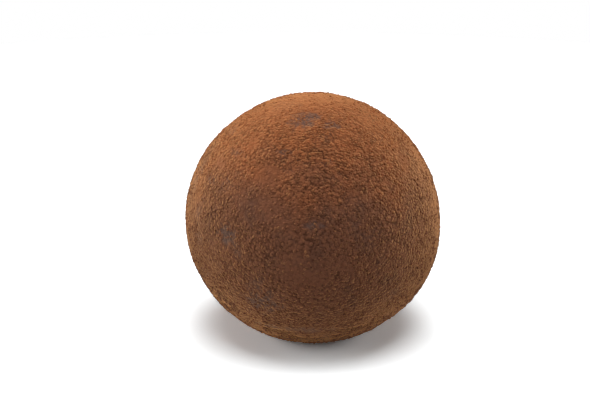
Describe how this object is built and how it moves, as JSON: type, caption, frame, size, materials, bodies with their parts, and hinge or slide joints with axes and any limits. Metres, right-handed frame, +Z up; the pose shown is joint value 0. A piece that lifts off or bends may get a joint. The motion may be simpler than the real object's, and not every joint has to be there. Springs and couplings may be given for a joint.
{
  "type": "chocolate truffle",
  "caption": "Hand-rolled chocolate truffle, a slightly uneven ball dusted with cocoa powder, standing on a small flat foot.",
  "frame": {"origin": "middle of the flat foot, on the surface that the truffle stands on", "axes": "+Z up; the front, the side that shows best, faces -Y; +X is to the right of someone who looks at the front"},
  "size_m": [0.0284, 0.028, 0.0267],
  "materials": {
    "cocoa_dusted_chocolate": "dark chocolate under a dry coat of cocoa powder, rough and fully matt, paler where the powder lies thick"
  },
  "bodies": {
    "root": {"truffle": "cocoa_dusted_chocolate"}
  },
  "joints": []
}
